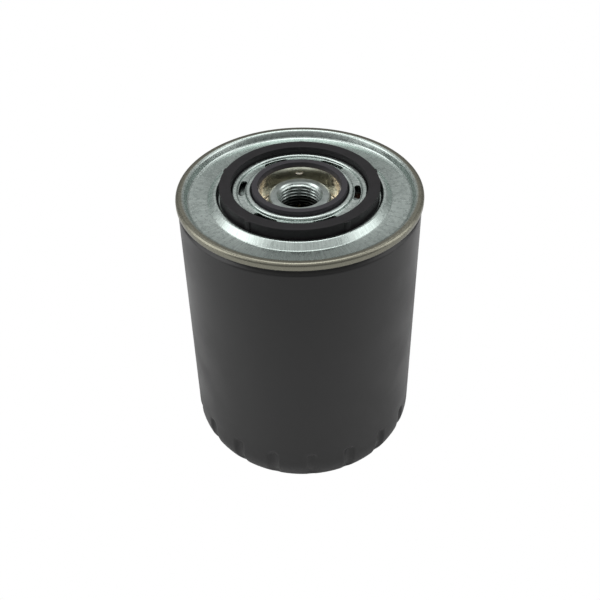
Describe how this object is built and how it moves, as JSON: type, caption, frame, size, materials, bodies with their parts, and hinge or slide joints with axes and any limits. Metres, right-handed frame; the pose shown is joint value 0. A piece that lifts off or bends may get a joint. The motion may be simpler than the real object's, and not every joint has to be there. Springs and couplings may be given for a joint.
{
  "type": "oil filter",
  "caption": "Spin-on engine oil filter with two gaskets: fluted black can, seamed zinc lid, 3/4-16 hub, pleated element and valves inside.",
  "frame": {"origin": "bottom centre: the middle of the closed end's foot plane, on the thread's axis", "axes": "+Z along the thread's axis from the closed end to the sealing face; +X and +Y lie in the foot's plane, with -Y the side that faces a viewer in front"},
  "size_m": [0.108, 0.108, 0.143],
  "materials": {
    "black_paint": "satin black baked paint",
    "bright_zinc": "bright zinc plate with a faint blue-green tint and circular grain",
    "plate_zinc": "grey zinc plate, slightly rough",
    "yellow_zinc": "yellow passivated zinc plate",
    "gasket_rubber": "matt nitrile rubber",
    "valve_rubber": "smooth nitrile rubber",
    "sealing_compound": "cured sealing compound",
    "cap_tinplate": "tinplate",
    "plastisol": "cured plastisol",
    "filter_paper": "resin-treated filter paper",
    "clip_steel": "plain pressed steel",
    "tube_steel": "plain perforated steel",
    "spring_steel": "oil-tempered spring wire"
  },
  "bodies": {
    "shell": {"can": "black_paint", "seaming_lid": "bright_zinc", "seam_compound": "sealing_compound", "tapping_plate": "plate_zinc", "outer_gasket": "gasket_rubber", "inner_gasket": "gasket_rubber", "gasket_retainer": "yellow_zinc", "support_spring": "spring_steel"},
    "element": {"top_end_cap": "cap_tinplate", "top_potting": "plastisol", "pleated_media": "filter_paper", "media_clip": "clip_steel", "centre_tube": "tube_steel", "bottom_potting": "plastisol", "bottom_end_cap": "cap_tinplate", "valve_cage": "tube_steel", "valve_spring": "spring_steel"},
    "relief_valve": {"valve_seal": "valve_rubber", "valve_disc": "clip_steel", "valve_stem": "clip_steel"},
    "drain_valve": {"anti_drain_valve": "valve_rubber"}
  },
  "joints": [
    {"name": "element_float", "type": "slide", "parent": "shell", "child": "element", "axis": [0, 0, -1], "range_m": [0, 0.0025], "stiffness_N_per_m": 3000, "springref_m": -0.006, "deforming": ["support_spring"]},
    {"name": "relief_lift", "type": "slide", "parent": "element", "child": "relief_valve", "axis": [0, 0, 1], "range_m": [0, 0.005], "stiffness_N_per_m": 2500, "springref_m": -0.008, "deforming": ["valve_spring"]},
    {"name": "drain_lip_open", "type": "slide", "parent": "shell", "child": "drain_valve", "axis": [0, 0, -1], "range_m": [0, 0.002], "stiffness_N_per_m": 500, "springref_m": -0.001, "deforming": ["anti_drain_valve"]}
  ]
}
